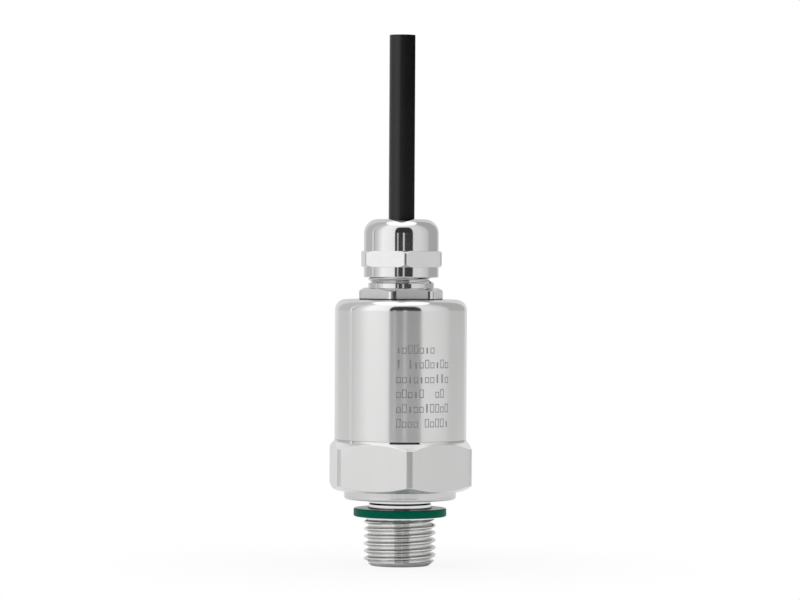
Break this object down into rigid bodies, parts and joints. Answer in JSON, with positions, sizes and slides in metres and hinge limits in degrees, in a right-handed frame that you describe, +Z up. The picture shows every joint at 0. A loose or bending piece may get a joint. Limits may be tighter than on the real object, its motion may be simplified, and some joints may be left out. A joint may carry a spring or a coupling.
{
  "type": "pressure transmitter",
  "caption": "Screw-in pressure transmitter: threaded stem with a green seal ring, hexagon, steel sleeve, domed cable gland and a straight black lead.",
  "frame": {"origin": "centre of the thread's free end face, which is the mouth of the pressure port", "axes": "+Z up the axis towards the cable; a corner of the big hexagon points along -Y"},
  "size_m": [0.0244, 0.0276, 0.0965],
  "materials": {
    "turned_steel": "turned stainless steel",
    "housing_steel": "turned stainless steel, fine lathe lines",
    "nickel_plate": "bright nickel plate on brass",
    "green_rubber": "moulded fluoro rubber",
    "black_rubber": "moulded rubber",
    "insert_nylon": "natural nylon",
    "jacket_black": "satin black jacket",
    "core_red": "red insulation",
    "core_black": "black insulation",
    "core_green": "green insulation",
    "copper": "stranded copper",
    "tinned_braid": "tinned braid",
    "capsule_steel": "turned stainless steel",
    "seal_glass": "fused glass",
    "silicon": "polished silicon",
    "gold_pins": "gold-plated pins",
    "white_ceramic": "alumina board",
    "board_laminate": "green solder mask",
    "chip_black": "moulded epoxy",
    "capacitor_tan": "ceramic with tinned ends",
    "solder": "solder",
    "holder_plastic": "moulded polyester"
  },
  "bodies": {
    "root": {"process_connection": "turned_steel", "seal_ring": "green_rubber", "housing": "housing_steel", "housing_oring": "black_rubber", "gland_body": "nickel_plate", "gland_oring": "black_rubber", "cable": "jacket_black", "cable_shield": "tinned_braid", "core_red": "core_red", "core_black": "core_black", "core_green": "core_green", "conductors": "copper", "sensor_capsule": "capsule_steel", "diaphragm": "capsule_steel", "diaphragm_ring": "capsule_steel", "sensor_header": "capsule_steel", "header_glass": "seal_glass", "sensor_pins": "gold_pins", "die_pedestal": "seal_glass", "sensor_die": "silicon", "capsule_oring": "black_rubber", "capsule_retainer": "capsule_steel", "compensation_board": "white_ceramic", "link_wires": "copper", "board_holder": "holder_plastic", "amplifier_board": "board_laminate", "amplifier_chip": "chip_black", "regulator": "chip_black", "surge_diodes": "chip_black", "capacitors": "capacitor_tan", "resistors": "chip_black", "solder_joints": "solder"},
    "gland_nut": {"gland_nut": "nickel_plate"},
    "clamp": {"clamp_insert": "insert_nylon", "cable_seal": "black_rubber"}
  },
  "joints": [
    {"name": "clamp_lift", "type": "slide", "parent": "root", "child": "clamp", "axis": [0, 0, 1], "range_m": [0, 0.0045]},
    {"name": "nut_turn", "type": "hinge", "parent": "clamp", "child": "gland_nut", "pos_m": [0, 0, 0.0577], "axis": [0, 0, 1], "range_deg": [0, 1080]}
  ],
  "couplings": [
    {"joint": "clamp_lift", "follows": "nut_turn", "m_per_rad": 0.00023873}
  ]
}
